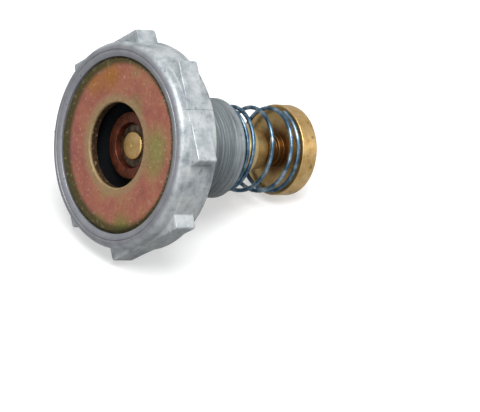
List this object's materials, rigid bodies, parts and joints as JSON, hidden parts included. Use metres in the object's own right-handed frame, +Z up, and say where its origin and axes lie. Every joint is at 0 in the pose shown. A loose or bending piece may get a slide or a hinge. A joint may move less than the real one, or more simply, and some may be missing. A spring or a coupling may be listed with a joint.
{
  "type": "carburetor power valve",
  "caption": "Vacuum-worked carburetor fuel valve: crimped diaphragm flange with wrench pads, screwed shank, open coil spring and brass poppet stem with a disc head.",
  "frame": {"origin": "middle of the plan at the level of the surface that the valve lies on", "axes": "+Z up, +X from the crimped flange towards the brass head, whose end lies lower: the valve's axis is in the XZ plane, 18.60 degrees under +X"},
  "size_m": [0.0318, 0.027, 0.0265],
  "materials": {
    "die_cast_body": "grey die-cast, slightly mottled",
    "plated_ring": "yellow and pink zinc plating",
    "diaphragm_rubber": "matt black",
    "washer_steel": "dull",
    "plate_steel": "rust-red plating",
    "stem_brass": "turned, satin",
    "spring_steel": "drawn wire, bluish"
  },
  "bodies": {
    "body": {"valve_body": "die_cast_body", "retaining_ring": "plated_ring", "diaphragm": "diaphragm_rubber", "spring": "spring_steel"},
    "stem": {"valve_stem": "stem_brass", "support_washer": "washer_steel", "diaphragm_plate": "plate_steel", "rivet_washer": "washer_steel"}
  },
  "joints": [
    {"name": "stem_slide", "type": "slide", "parent": "body", "child": "stem", "axis": [-0.9478, 0, 0.3189], "range_m": [0, 0.00195], "stiffness_N_per_m": 280, "springref_m": -0.01, "deforming": ["spring", "diaphragm"]}
  ]
}
